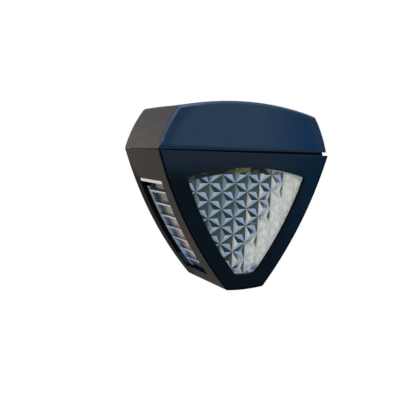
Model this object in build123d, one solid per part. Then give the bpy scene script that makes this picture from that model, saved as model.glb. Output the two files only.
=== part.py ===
from build123d import *
import math
import os

# Solar fence light, in millimetres. X runs across the light, Z is up, and the light faces -Y.
# The wall is the plane y = 0, and the origin is on it, midway between the two hanging slots.
# A distance from the wall is called w below, so a point at w is at y = -w.

# --- driving dimensions -------------------------------------------------------------------
seam_z = 16.0          # height of the seam between cap and body
seam_drop = 0.9        # the body's top, below the seam's height
seam_shut = 0.1        # gap at the rear left corner, where the cap sits down on the body
seam_side_open = 1.5   # more gap at the right, because the cap sits a little askew
seam_front_open = 0.5  # and more at the front
half_width = 60.5      # half the width at the seam
depth = 47.2           # wall to front face

cap_top_half = 48.5    # half the width at the cap's upper corners
cap_corner_z = seam_z + 23.1
cap_crown_z = seam_z + 28.7
cap_side_bow = 1.3     # how far the cap's side curves out of straight
cap_corner_radius = 2.4
cap_front_radius = 2.0     # rounding round the front face
cap_back_radius = 0.6
cap_wall = 2.2

body_foot_half = 13.2  # half the width at the body's lower corners
body_corner_z = seam_z - 82.3
body_foot_z = seam_z - 83.0
body_side_bow = 4.8
body_wall = 2.6

window_top_half = 42.5     # front window, shaped like the body
window_corner_z = seam_z - 15.0
window_crown_z = seam_z - 9.5
window_foot_half = 7.5
window_foot_z = seam_z - 73.3
window_keel_z = seam_z - 73.9
window_side_bow = 2.9

# front bezel and lens
bezel_skin = 1.8           # visible plate
bezel_edge = 0.3
rim_width = 0.55           # the body's wall showing round the plate
rim_step = 0.2             # the plate stands this proud of it
parting_gap = 0.75         # shadow line between them
body_corner_radius = 2.0
body_rear_edge = 0.4
plug_w = 43.0              # rear face of bezel and lens
flange_thickness = 1.6     # inward flange of the body behind them
lens_lip = 2.2             # lens flange held under the bezel
lens_flange_w = 44.4
lens_rim_w = 45.0          # flat rim round the pattern
lens_rim_width = 0.6
valley_w = 44.6            # pattern's lowest lines
apex_w = 45.3              # pattern's highest points
star_side = 10.2           # side of one triangle of the pattern
star_z = seam_z - 24.0     # a star's centre on the centre line
star_columns = 5           # columns of stars each side of the centre line
star_rows = (-2, 6)

# side windows and their ribbed lenses
side_window_top = seam_z - 18.3
side_window_foot = seam_z - 75.0
side_window_rear_w = 7.6
side_window_front_w = 38.7     # at the top
side_window_front_low_w = 35.2
side_recess = 4.3              # from the side's face in to the lens strip
side_frame_margin = 2.4        # wall round the opening that reaches in to the strip
side_window_radius = 0.8
side_lens_thickness = 1.3
side_lens_lip = 1.6
rib_top_z = seam_z - 25.3
rib_pitch = 8.5                # along the curve of the side
rib_count = 7
rib_height = 1.7
rib_edge = 0.5                 # upright edge of a rib
rib_proud = 1.5
rail_width = 1.3
rail_rise = 2.2                # the rail starts above the first rib
head_depth = 0.3               # the lens's head comes out almost to the side's face
head_height = 1.5

# back cover
cover_thickness = 2.4
cover_gap = 0.15
seal_thickness = 0.8
ledge_thickness = 1.8
ledge_width = 3.0
slot_x = 25.0          # hanging slots, left and right of the centre line
slot_width = 4.4
slot_drop = 8.0        # entry hole's centre below the slot's upper end
entry_radius = 4.5
pocket_depth = 6.2
pocket_clearance = 0.4
pocket_wall = 1.0
head_seat_w = 2.0      # where the cover's screw heads sit
cup_radius = 4.2       # recess round a screw cup
reflector_thickness = 1.0
reflector_gap = 0.7    # clear of the side lenses
seal_width = 2.0
lug_x = 37.0           # tray lugs that the upper cover screws enter
lug_half = 4.5
lug_w = (5.2, 10.2)
lug_gap = 0.2
lug_screw_z = seam_z - 11.0
foot_screw_z = seam_z - 73.0
foot_boss_length = 7.0
foot_web_half = 1.2    # web that carries the foot's screw boss
stake_radius = 1.2     # pins on the bezel, staked through the body's flange
stake_spots = [(50.5, seam_z - 7.5), (24.6, seam_z - 60.0)]

# cap: panel in its well
well_half = 44.0
lip = 3.2
well_floor_z = seam_z + 20.0
ceiling_z = seam_z + 17.8
panel_clearance = 0.3
seal_z = 1.0           # heights of the layers, from the well's floor up
board_z = 1.2
cell_z = 0.3
glass_z = 1.4
gasket_width = 3.0
cell_count = 8
cell_border = 2.4
cell_gap = 0.7
glass_rim = 2.0
glass_chamfer = 0.4
wire_hole_radius = 3.0

# lamp tray and what it carries
tray_gap = 0.2
tray_floor = 1.8
tray_wall = 1.6
tray_rim_z = seam_z + 5.0
boss_x = 46.0
boss_rows = (9.0, 38.2)
boss_radius = 3.5
cup_wall = 1.4             # round the screw heads under the tray
cup_top_z = seam_z + 3.4
head_seat_z = seam_z + 1.6
light_hole_half = 32.0
light_hole_w = (14.0, 41.0)
switch_wall_half = 5.0     # upright that the switch is fixed to
switch_wall = 1.8

screw_radius = 1.45
screw_reach = 9.0          # into the boss
pilot_radius = 1.5
pilot_depth = 9.5
clearance_radius = 1.7
head_radius = 2.8
head_clearance = 0.2
head_height = 1.8
driver_slot = (1.8, 0.4, 0.8)      # half length, half width, depth

circuit_z = seam_z + 3.2
circuit_thickness = 1.2
board_half = 24.0
board_w = (27.0, 42.0)
board_screw_x = 20.0
board_screw_w = 39.0
board_post_radius = 2.6
board_pilot_radius = 1.0
board_screw_radius = 0.95
board_screw_bite = 0.8     # into the tray's floor
board_head_radius = 1.9
board_head_height = 1.3
lamp_x = 14.0
lamp_w = 34.5
lamp_radius = 2.5
lamp_flange = 0.4
lamp_length = 6.1          # board to the dome's centre
lamp_clearance = 0.3
chip_x = (-12.5, -7.5)
chip_w = (29.0, 33.0)
chip_height = 1.6
choke_x = 9.5
choke_w = 32.0
choke_radius = 3.5
choke_waist = 2.9
choke_height = 6.0
choke_flange = 1.2

battery_radius = 7.1
battery_w = 13.6
battery_z = seam_z + 9.4
battery_x = (-22.6, 25.8)
battery_chamfer = 0.5
nub_radius = 2.7
holder_half = 28.5
holder_inner_half = 27.3
holder_half_depth = 8.3
holder_rise = 0.6          # the holder's edges stand this far over the cell's middle
cell_clearance = 0.2
contact_thickness = 0.4
contact_half = 4.0
contact_drop = 5.4
contact_rise = 3.6
spring_wire = 0.3
spring_turns = 3
spring_radius = 3.0
wire_radius = 0.6
wire_sides = 8
lead_climb = 3.0           # a battery lead's rise over its tab
lead_turn_w = 23.0
lead_drop = 5.0            # its straight end over the pad
lead_pad = (17.0, 31.0)    # x and w
lead_bend = 1.6
panel_lead_x = 2.0

switch_x = 37.0
switch_z = seam_z + 10.6
switch_size = 8.0
switch_front_w = 16.4
switch_rear_w = 9.4
switch_wire_radius = 0.5
switch_lead_x = 30.6
switch_lead_w = (13.0, 25.0)               # where the straight run starts and ends
switch_lead_drop = 3.0
switch_lead_bend = 1.2
switch_pad_x = 22.4
switch_pads = ((-1.5, 34.5), (1.5, 31.5))  # rise from the switch's middle, w
plunger_half = 1.5
plunger_length = 4.6
button_radius = 4.0
button_clearance = 0.3
button_chamfer = 0.5
button_face_w = 0.6
button_flange_w = 3.8
button_flange = (1.2, 1.0)     # how far out, how thick
button_seal_ring = (0.5, 1.4)  # inner and outer edge, past the button's radius
stem_radius = 1.6
stem_end_w = 7.0
plunger_gap = 0.1

fit_gap = 0.1          # between pieces that seat in each other
sink = 0.5             # how far a boss runs into the wall that carries it
over = 1.0             # how far a cutting solid runs past what it cuts

body_top_z = seam_z - seam_drop
cap_base_z = body_top_z + seam_shut

os.makedirs("parts", exist_ok=True)


# --- helpers ------------------------------------------------------------------------------
def save(name, shape):
    export_step(shape, f"parts/{name}.step")


def prism(face, near_w, far_w):
    """A face drawn in x and z, carried from near_w to far_w off the wall."""
    return extrude(Plane.XZ.offset(near_w) * face, far_w - near_w)


def block(x0, x1, near_w, far_w, z0, z1):
    centre = Pos((x0 + x1) / 2, -(near_w + far_w) / 2, (z0 + z1) / 2)
    return centre * Box(x1 - x0, far_w - near_w, z1 - z0)


def post(x, w, z0, z1, radius):
    return Pos(x, -w, (z0 + z1) / 2) * Cylinder(radius, z1 - z0)


def pin(x, z, near_w, far_w, radius):
    return Pos(x, -(near_w + far_w) / 2, z) * Rot(90, 0, 0) * Cylinder(radius, far_w - near_w)


def inset(face, amount):
    return offset(face, -amount, kind=Kind.INTERSECTION)


def bowed(start, end, bow):
    """An arc from start to end that stands bow to the left of the straight line."""
    middle = (start + end) / 2
    run = end - start
    left = Vector(-run.Y, run.X) / run.length
    return ThreePointArc(start, middle + left * bow, end)


def bow_circle(start, end, bow):
    """Centre and radius of the arc that stands bow outside a right-hand side."""
    run = end - start
    radius = (run.length ** 2 / 4 + bow ** 2) / (2 * bow)
    left = Vector(-run.Y, run.X) / run.length
    return (start + end) / 2 + left * (bow - radius), radius


def side_x(circle, z, depth_in):
    """Half the width at height z, measured depth_in under the side's face."""
    centre, radius = circle
    return centre.X + math.sqrt((radius - depth_in) ** 2 - (z - centre.Y) ** 2)


def shield(top_half, corner_z, crown_z, foot_half, foot_z, keel_z, bow):
    """Symmetric outline: crowned top, sides that bow outward, narrow foot."""
    right_top, left_top = Vector(top_half, corner_z), Vector(-top_half, corner_z)
    right_foot, left_foot = Vector(foot_half, foot_z), Vector(-foot_half, foot_z)
    if crown_z == corner_z:
        top = Line(left_top, right_top)
    else:
        top = ThreePointArc(left_top, (0, crown_z), right_top)
    if keel_z == foot_z:
        foot = Line(right_foot, left_foot)
    else:
        foot = ThreePointArc(right_foot, (0, keel_z), left_foot)
    right = bowed(right_top, right_foot, bow)
    left = bowed(left_foot, left_top, bow)
    return make_face([top, right, foot, left])


def rounded(face, below_z, above_z, radius):
    """Round the outline's corners whose height lies between below_z and above_z."""
    corners = face.vertices().filter_by(lambda v: below_z < v.Y < above_z)
    return fillet(corners, radius)


# --- outlines -----------------------------------------------------------------------------
body_profile = shield(half_width, body_top_z, body_top_z, body_foot_half, body_corner_z,
                      body_foot_z, body_side_bow)
cap_profile = shield(cap_top_half, cap_corner_z, cap_crown_z, half_width, cap_base_z, cap_base_z,
                     cap_side_bow)
body_outline = rounded(body_profile, body_foot_z - over, body_corner_z + over, body_corner_radius)
cap_outline = rounded(cap_profile, cap_corner_z - over, cap_crown_z, cap_corner_radius)
window_outline = shield(window_top_half, window_corner_z, window_crown_z, window_foot_half,
                        window_foot_z, window_keel_z, window_side_bow)
cap_circle = bow_circle(Vector(cap_top_half, cap_corner_z), Vector(half_width, cap_base_z),
                        cap_side_bow)
body_circle = bow_circle(Vector(half_width, body_top_z), Vector(body_foot_half, body_corner_z),
                         body_side_bow)


# --- cap ----------------------------------------------------------------------------------
tray_inset = cap_wall + tray_gap
screw_spots = [(x, w) for x in (-boss_x, boss_x) for w in boss_rows]


def skirt_band(z0, z1, depth_in):
    """The cap's width between two heights, its sides taken depth_in inside the face."""
    low, high = side_x(cap_circle, z0, depth_in), side_x(cap_circle, z1, depth_in)
    return make_face(Polyline((-low, z0), (low, z0), (high, z1), (-high, z1), close=True))


def rim_plane():
    """The cap's lower edge: shut at the rear left, open to the right and to the front."""
    rear_left = Vector(-half_width, 0, cap_base_z)
    along = Vector(2 * half_width, 0, seam_side_open)
    forward = Vector(0, -depth, seam_front_open)
    return Plane(origin=rear_left, x_dir=along, z_dir=forward.cross(along))


def cap_shell():
    shell = prism(cap_outline, 0, depth)
    for face, radius in ((shell.faces().sort_by(Axis.Y)[0], cap_front_radius),
                         (shell.faces().sort_by(Axis.Y)[-1], cap_back_radius)):
        upper = [edge for edge in face.edges() if edge.center().Z > cap_base_z + over]
        shell = fillet(upper, radius)
    hollow = prism(inset(cap_profile, cap_wall), cap_wall, depth - cap_wall)
    hollow &= block(-half_width, half_width, 0, depth, cap_base_z, ceiling_z)
    mouth = skirt_band(cap_base_z - over, cap_base_z + cap_wall + over, cap_wall)
    shell -= hollow
    shell -= prism(mouth, cap_wall, depth - cap_wall)
    for x, w in screw_spots:
        shell += post(x, w, cup_top_z, ceiling_z + sink, boss_radius)
        shell -= post(x, w, cup_top_z - over, cup_top_z + pilot_depth, pilot_radius)
    shell -= block(-well_half, well_half, lip, depth - lip, well_floor_z, cap_crown_z + over)
    shell -= post(0, lamp_w, ceiling_z - over, well_floor_z + over, wire_hole_radius)
    shell -= pin(switch_x, switch_z, -over, cap_wall + over, button_radius + button_clearance)
    return split(shell, bisect_by=rim_plane(), keep=Keep.TOP)


# --- solar panel, layer on layer in the well ----------------------------------------------
panel_half = well_half - panel_clearance
panel_w0 = lip + panel_clearance
panel_w1 = depth - lip - panel_clearance
board_top_z = well_floor_z + seal_z + board_z
cell_top_z = board_top_z + cell_z
glass_top_z = cell_top_z + glass_z


def panel_layer(margin, z0, z1):
    return block(-panel_half + margin, panel_half - margin, panel_w0 + margin, panel_w1 - margin,
                 z0, z1)


def panel_seal():
    low, high = well_floor_z, well_floor_z + seal_z
    return panel_layer(0, low, high) - panel_layer(gasket_width, low - over, high + over)


def solar_cells():
    span = 2 * (panel_half - cell_border)
    width = (span - cell_gap * (cell_count - 1)) / cell_count
    first = -panel_half + cell_border
    starts = [first + k * (width + cell_gap) for k in range(cell_count)]
    near, far = panel_w0 + cell_border, panel_w1 - cell_border
    return Compound([block(x, x + width, near, far, board_top_z, cell_top_z) for x in starts])


def panel_glass():
    glass = panel_layer(0, board_top_z, glass_top_z)
    glass -= panel_layer(glass_rim, board_top_z - over, cell_top_z)
    top = glass.faces().sort_by(Axis.Z)[-1]
    return chamfer(top.edges(), glass_chamfer)


# --- lamp tray ----------------------------------------------------------------------------
floor_top_z = body_top_z + tray_floor
lug_foot_z = lug_screw_z - lug_half


def lug_sides(side, clear=0.0):
    """A lug's two sides, lower x first."""
    return sorted((side * (lug_x - lug_half - clear), side * (lug_x + lug_half + clear)))


def lamp_tray():
    near, far = tray_inset, depth - tray_inset
    tray = prism(skirt_band(body_top_z, tray_rim_z, tray_inset), near, far)
    room = skirt_band(floor_top_z, tray_rim_z + over, tray_inset + tray_wall)
    tray -= prism(room, near + tray_wall, far - tray_wall)
    for x, w in screw_spots:
        tray += post(x, w, body_top_z, cup_top_z, head_radius + cup_wall)
        tray -= post(x, w, body_top_z - over, head_seat_z, head_radius + head_clearance)
        tray -= post(x, w, head_seat_z, cup_top_z + over, clearance_radius)
    for side in (-1, 1):
        tray += block(*lug_sides(side), *lug_w, lug_foot_z, floor_top_z)
        tray -= pin(side * lug_x, lug_screw_z, lug_w[0] - over, lug_w[1] - sink, pilot_radius)
        spot = (side * board_screw_x, board_screw_w)
        tray += post(*spot, floor_top_z, circuit_z, board_post_radius)
        tray -= post(*spot, floor_top_z - over, circuit_z + over, board_pilot_radius)
        tray -= post(side * lamp_x, lamp_w, body_top_z - over, floor_top_z + over,
                     lamp_radius + lamp_clearance)
    tray += block(switch_x - switch_wall_half, switch_x + switch_wall_half, switch_front_w,
                  switch_front_w + switch_wall, floor_top_z, switch_z + switch_wall_half)
    return tray


def tray_screws():
    reach, half_slot, slot_depth = driver_slot
    head_z = head_seat_z - head_height
    screws = []
    for x, w in screw_spots:
        head = post(x, w, head_z, head_seat_z, head_radius)
        head -= block(x - reach, x + reach, w - half_slot, w + half_slot, head_z - over,
                      head_z + slot_depth)
        screws.append(head + post(x, w, head_seat_z, cup_top_z + screw_reach, screw_radius))
    return Compound(screws)


# --- circuit ------------------------------------------------------------------------------
circuit_top_z = circuit_z + circuit_thickness
board_screw_spots = [(side * board_screw_x, board_screw_w) for side in (-1, 1)]


def circuit_board():
    board = block(-board_half, board_half, *board_w, circuit_z, circuit_top_z)
    for spot in board_screw_spots:
        board -= post(*spot, circuit_z - over, circuit_top_z + over,
                      board_pilot_radius + fit_gap)
    return board


def board_screws():
    head_top_z, foot_z = circuit_top_z + board_head_height, floor_top_z - board_screw_bite
    return Compound([post(*spot, circuit_top_z, head_top_z, board_head_radius)
                     + post(*spot, foot_z, circuit_top_z, board_screw_radius)
                     for spot in board_screw_spots])


def led_lamps():
    """Five-millimetre lamps: a flange on the board, a straight body and a domed end."""
    flange_z, dome_z = circuit_z - over, circuit_z - lamp_length
    lamps = []
    for x in (-lamp_x, lamp_x):
        lamp = post(x, lamp_w, flange_z, circuit_z, lamp_radius + lamp_flange)
        lamp += post(x, lamp_w, dome_z, flange_z, lamp_radius)
        lamps.append(lamp + Pos(x, -lamp_w, dome_z) * Sphere(lamp_radius))
    return Compound(lamps)


def driver_chip():
    return block(*chip_x, *chip_w, circuit_top_z, circuit_top_z + chip_height)


def choke_coil():
    """A bobbin: a waist between two flanges."""
    low, high = circuit_top_z, circuit_top_z + choke_height
    bobbin = post(choke_x, choke_w, low, high, choke_waist)
    for z in (low, high - choke_flange):
        bobbin += post(choke_x, choke_w, z, z + choke_flange, choke_radius)
    return bobbin


def wire_along(path, radius):
    """An eight-sided wire along a path."""
    section = Plane(path @ 0, z_dir=path % 0) * RegularPolygon(radius, wire_sides)
    return sweep(section, path=path)


def lead(points, radius, bend):
    """A short wire along straight runs joined by arcs."""
    return wire_along(FilletPolyline(*points, radius=bend), radius)


def panel_lead(x):
    return post(x, lamp_w, circuit_top_z, well_floor_z + seal_z, wire_radius)


# --- battery ------------------------------------------------------------------------------
nub_x = holder_inner_half - contact_thickness
tab_top_z = battery_z + contact_rise


def along_x(x0, x1, w, z, radius):
    return Pos((x0 + x1) / 2, -w, z) * Rot(0, 90, 0) * Cylinder(radius, x1 - x0)


def battery_holder():
    holder = block(-holder_half, holder_half, battery_w - holder_half_depth,
                   battery_w + holder_half_depth, floor_top_z, battery_z + holder_rise)
    return holder - along_x(-holder_inner_half, holder_inner_half, battery_w, battery_z,
                            battery_radius + cell_clearance)


def battery_cell():
    can = along_x(*battery_x, battery_w, battery_z, battery_radius)
    can = chamfer(can.edges().filter_by(GeomType.CIRCLE), battery_chamfer)
    return can + along_x(battery_x[1] - fit_gap, nub_x, battery_w, battery_z, nub_radius)


def contact_plate(side):
    x0, x1 = sorted((side * nub_x, side * holder_inner_half))
    return block(x0, x1, battery_w - contact_half, battery_w + contact_half,
                 battery_z - contact_drop, tab_top_z)


def battery_spring():
    """Turns of wire in half-turn arcs, between the plate and the cell's flat end."""
    base_x = spring_wire - nub_x
    rise = battery_x[0] - spring_wire - base_x
    half_turns = 2 * spring_turns

    def at(quarter):
        angle = math.radians(90 * quarter)
        return (base_x + rise * quarter / (2 * half_turns),
                -battery_w + spring_radius * math.cos(angle),
                battery_z + spring_radius * math.sin(angle))

    arcs = [ThreePointArc(at(2 * k), at(2 * k + 1), at(2 * k + 2)) for k in range(half_turns)]
    return wire_along(Wire(arcs), spring_wire)


def battery_lead(side):
    """From a contact's tab up, across to the circuit and down to it."""
    tab_x = side * (nub_x + contact_thickness / 2)
    high_z = tab_top_z + lead_climb
    pad_x, pad_w = lead_pad
    return lead([(tab_x, -battery_w, tab_top_z), (tab_x, -battery_w, high_z),
                 (side * holder_half, -lead_turn_w, high_z),
                 (side * pad_x, -pad_w, circuit_top_z + lead_drop),
                 (side * pad_x, -pad_w, circuit_top_z)], wire_radius, lead_bend)


# --- switch and button --------------------------------------------------------------------
def square_pin(near_w, far_w, half):
    return block(switch_x - half, switch_x + half, near_w, far_w, switch_z - half,
                 switch_z + half)


def switch_case():
    case = square_pin(switch_rear_w, switch_front_w, switch_size / 2)
    return case - square_pin(switch_rear_w - over, switch_rear_w + plunger_length,
                             plunger_half + button_clearance)


def switch_plunger():
    near = stem_end_w + plunger_gap
    return square_pin(near, near + plunger_length + fit_gap, plunger_half)


def push_button():
    reach, thickness = button_flange
    button = pin(switch_x, switch_z, button_face_w, button_flange_w, button_radius)
    rim = button.edges().filter_by(GeomType.CIRCLE).sort_by(Axis.Y)[-1]
    button = chamfer(rim, button_chamfer)
    button += pin(switch_x, switch_z, button_flange_w, button_flange_w + thickness,
                  button_radius + reach)
    return button + pin(switch_x, switch_z, button_flange_w, stem_end_w, stem_radius)


def button_seal():
    near, far = cap_wall, button_flange_w - plunger_gap
    inner, outer = button_seal_ring
    ring = pin(switch_x, switch_z, near, far, button_radius + outer)
    return ring - pin(switch_x, switch_z, near - over, far + over, button_radius + inner)


def switch_leads():
    """Two wires from the switch's side, forward past it and across to the circuit."""
    start_x, run_x, pad_x = switch_x - switch_size / 2, switch_lead_x, switch_pad_x
    start_w, turn_w = switch_lead_w
    wires = []
    for rise, pad_w in switch_pads:
        z = switch_z + rise
        wires.append(lead([(start_x, -start_w, z), (run_x, -start_w, z), (run_x, -turn_w, z),
                           (pad_x, -pad_w, circuit_top_z + switch_lead_drop),
                           (pad_x, -pad_w, circuit_top_z)], switch_wire_radius,
                          switch_lead_bend))
    return Compound(wires)


# --- body ---------------------------------------------------------------------------------
rim_front_w = depth - rim_step
seat_w = depth - bezel_skin
plug_inset = body_wall + fit_gap
flange_w = plug_w - flange_thickness
ledge_w0 = cover_thickness + seal_thickness
ledge_w1 = ledge_w0 + ledge_thickness
cup_w = lug_w[0]
pocket_w = pocket_depth + pocket_wall


def both_sides(spots):
    return [(side * x, z) for x, z in spots for side in (-1, 1)]


def side_window(clear):
    """The side openings' outline in y and z, pulled in by clear, cut through the whole body."""
    top, foot = side_window_top - clear, side_window_foot + clear
    rear = -(side_window_rear_w + clear)
    corners = [(rear, top), (-(side_window_front_w - clear), top),
               (-(side_window_front_low_w - clear), foot), (rear, foot)]
    outline = make_face(Polyline(*corners, close=True))
    outline = fillet(outline.vertices(), side_window_radius)
    reach = half_width + over
    return extrude(Plane.YZ.offset(-reach) * outline, 2 * reach)


def side_frame():
    """Walls round both side openings, from the body's wall in to the lens strips."""
    margin = side_frame_margin
    wall = side_strip(side_window_foot - margin, side_window_top + margin, body_wall - sink,
                      side_recess)
    right = prism(wall, side_window_rear_w - margin, side_window_front_w + margin)
    return right + mirror(right, about=Plane.YZ)


def body_shell():
    shell = prism(body_outline, 0, rim_front_w)
    shell = chamfer(shell.faces().sort_by(Axis.Y)[-1].edges(), body_rear_edge)
    shell -= prism(inset(body_profile, body_wall), -over, depth)
    shell -= prism(inset(body_profile, rim_width), seat_w, depth)
    shell += side_frame()
    inner = inset(body_profile, body_wall / 2)
    flange = prism(inner, flange_w, plug_w)
    flange -= prism(inset(window_outline, -fit_gap), 0, depth)
    ledge = prism(inner, ledge_w0, ledge_w1)
    ledge -= prism(inset(body_profile, body_wall + ledge_width), 0, depth)
    shell += flange + ledge
    shell += pin(0, foot_screw_z, cup_w, cup_w + foot_boss_length, boss_radius)
    shell += block(-foot_web_half, foot_web_half, ledge_w0, pocket_w, body_foot_z + over,
                   foot_screw_z - boss_radius + sink)
    shell -= pin(0, foot_screw_z, 0, cup_w, cup_radius)
    shell -= pin(0, foot_screw_z, cup_w - over, cup_w + foot_boss_length - over, pilot_radius)
    shell -= side_window(0)
    deck = (body_top_z - body_wall - over, body_top_z + over)
    shell -= block(-light_hole_half, light_hole_half, *light_hole_w, *deck)
    for side in (-1, 1):
        shell -= block(*lug_sides(side, lug_gap), lug_w[0] - lug_gap, lug_w[1] + lug_gap, *deck)
    for x, z in both_sides(stake_spots):
        shell -= pin(x, z, flange_w - over, plug_w + over, stake_radius + fit_gap)
    return shell


def front_bezel():
    plate = prism(inset(body_profile, rim_width + parting_gap), seat_w, depth)
    plate = chamfer(plate.faces().sort_by(Axis.Y)[0].edges(), bezel_edge)
    plug = prism(inset(body_profile, plug_inset), plug_w, seat_w)
    bezel = plate + plug - prism(window_outline, plug_w - over, depth + over)
    bezel -= prism(inset(window_outline, -lens_lip - fit_gap), plug_w - over, lens_flange_w)
    for x, z in both_sides(stake_spots):
        bezel += pin(x, z, flange_w - sink, plug_w, stake_radius)
    return bezel


# --- front lens: three-facet pyramids that meet in twelve-pointed stars -------------------
def star_point(column, row):
    """Centre of a star; odd columns stand half a step higher."""
    return Vector(column * star_side * math.sqrt(3) / 2,
                  star_z - row * star_side + (column % 2) * star_side / 2)


def star_triangles():
    """Corners of every triangle between neighbouring stars, all turned the same way."""
    triangles = []
    for column in range(-star_columns, star_columns):
        odd = column % 2
        for row in range(*star_rows):
            triangles.append((star_point(column, row), star_point(column, row + 1),
                              star_point(column + 1, row + 1 - odd)))
            triangles.append((star_point(column + 1, row + 1), star_point(column + 1, row),
                              star_point(column, row + odd)))
    return triangles


def faceted_slab(back_w):
    """One closed solid: flat behind, a three-facet pyramid on every triangle in front."""
    def at(point, w):
        return (point.X, -w, point.Y)

    faces, edges = [], {}
    for corners in star_triangles():
        peak = (corners[0] + corners[1] + corners[2]) / 3
        faces.append(Face(Wire.make_polygon([at(p, back_w) for p in reversed(corners)])))
        for k in range(3):
            start, end = corners[k], corners[(k + 1) % 3]
            faces.append(Face(Wire.make_polygon(
                [at(start, valley_w), at(end, valley_w), at(peak, apex_w)])))
            ends = [(round(p.X, 3), round(p.Y, 3)) for p in (start, end)]
            edges.setdefault(tuple(sorted(ends)), []).append((start, end))
    for shared in edges.values():
        if len(shared) == 1:
            start, end = shared[0]
            faces.append(Face(Wire.make_polygon(
                [at(start, back_w), at(end, back_w), at(end, valley_w), at(start, valley_w)])))
    return Solid(Shell(faces))


def front_lens():
    outline = inset(window_outline, fit_gap)
    field = inset(window_outline, fit_gap + lens_rim_width)
    flange = prism(inset(window_outline, -lens_lip), plug_w, lens_flange_w)
    rim = prism(outline, plug_w, lens_rim_w) - prism(field, 0, depth)
    facets = faceted_slab(plug_w + sink) & prism(field, 0, depth)
    return prism(outline, plug_w, plug_w + 2 * sink) + flange + rim + facets


# --- side lenses: a clear strip with a row of ribs, sunk in each side window --------------
rib_root = side_recess + sink
rib_face = side_recess - rib_proud


def side_strip(z0, z1, outer_in, inner_in):
    """A piece of the side between two heights and two depths under its face."""
    middle = (z0 + z1) / 2

    def arc(depth_in):
        low, mid, high = [(side_x(body_circle, z, depth_in), z) for z in (z0, middle, z1)]
        return ThreePointArc(low, mid, high)

    outer, inner = arc(outer_in), arc(inner_in)
    return make_face([outer, Line(outer @ 1, inner @ 1), inner, Line(inner @ 0, outer @ 0)])


def rib_tops():
    """Heights of the ribs, spaced evenly along the curve of the side."""
    centre, radius = body_circle
    first = math.asin((rib_top_z - centre.Y) / radius)
    return [centre.Y + radius * math.sin(first - k * rib_pitch / radius)
            for k in range(rib_count)]


def side_rib(top_z):
    """A rib with a level top and an upright edge that slopes back into the strip below."""
    edge_z, foot_z = top_z - rib_edge, top_z - rib_height
    return make_face(Polyline(
        (side_x(body_circle, top_z, rib_root), top_z), (side_x(body_circle, top_z, rib_face), top_z),
        (side_x(body_circle, edge_z, rib_face), edge_z),
        (side_x(body_circle, foot_z, side_recess - fit_gap), foot_z),
        (side_x(body_circle, foot_z, rib_root), foot_z), close=True))


def right_side_lens():
    lip = side_lens_lip
    strip = side_strip(side_window_foot - lip, side_window_top + lip, side_recess,
                       side_recess + side_lens_thickness)
    lens = prism(strip, side_window_rear_w - lip, side_window_front_w + lip)
    bars = [prism(side_rib(z), side_window_rear_w, side_window_front_w) for z in rib_tops()]
    rail = side_strip(side_window_foot, rib_top_z + rail_rise, rib_face, rib_root)
    bars.append(prism(rail, side_window_rear_w, side_window_rear_w + rail_width))
    head = side_strip(side_window_top - head_height, side_window_top, head_depth, rib_root)
    bars.append(prism(head, side_window_rear_w, side_window_front_w))
    opening = side_window(fit_gap)
    for bar in bars:
        lens += bar & opening
    return lens


# --- inside the body ----------------------------------------------------------------------
reflector_inset = side_recess + side_lens_thickness + reflector_gap


def reflector():
    plate = prism(inset(body_profile, reflector_inset), pocket_w, pocket_w + reflector_thickness)
    for side in (-1, 1):
        plate -= block(*lug_sides(side, sink), 0, depth, lug_foot_z - sink, body_top_z)
    return plate - pin(0, foot_screw_z, 0, depth, boss_radius + button_clearance)


# --- back cover ---------------------------------------------------------------------------
cover_screw_spots = [(-lug_x, lug_screw_z), (lug_x, lug_screw_z), (0, foot_screw_z)]


def hanging_slot(x):
    """Round entry below, narrow slot above; its upper end hangs at z = 0."""
    near, far, half = -over, cover_thickness + over, slot_width / 2
    slot = block(x - half, x + half, near, far, -slot_drop, -half)
    slot += pin(x, -half, near, far, half)
    return slot + pin(x, -slot_drop, near, far, entry_radius)


def slot_pocket(x, grow, near_w, far_w):
    reach = entry_radius + grow
    return block(x - reach, x + reach, near_w, far_w, -slot_drop - reach, slot_width / 2 + grow)


def back_cover():
    cover = prism(inset(body_profile, body_wall + cover_gap), 0, cover_thickness)
    for x in (-slot_x, slot_x):
        cover += slot_pocket(x, pocket_clearance + pocket_wall, cover_thickness, pocket_w)
        cover -= slot_pocket(x, pocket_clearance, cover_thickness, pocket_depth)
        cover -= hanging_slot(x)
    for x, z in cover_screw_spots:
        cover += pin(x, z, cover_thickness, cup_w, cup_radius - cover_gap)
        cover -= pin(x, z, -over, head_seat_w, head_radius + head_clearance)
        cover -= pin(x, z, head_seat_w, cup_w + over, clearance_radius)
    return cover


def cover_seal():
    band = prism(inset(body_profile, body_wall + 2 * cover_gap), cover_thickness, ledge_w0)
    return band - prism(inset(body_profile, body_wall + 2 * cover_gap + seal_width), 0, depth)


def cover_screws():
    reach, half_slot, slot_depth = driver_slot
    head_w = head_seat_w - head_height
    screws = []
    for x, z in cover_screw_spots:
        head = pin(x, z, head_w, head_seat_w, head_radius)
        head -= block(x - reach, x + reach, head_w - over, head_w + slot_depth,
                      z - half_slot, z + half_slot)
        screws.append(head + pin(x, z, head_seat_w, lug_w[1] - over, screw_radius))
    return Compound(screws)


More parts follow.
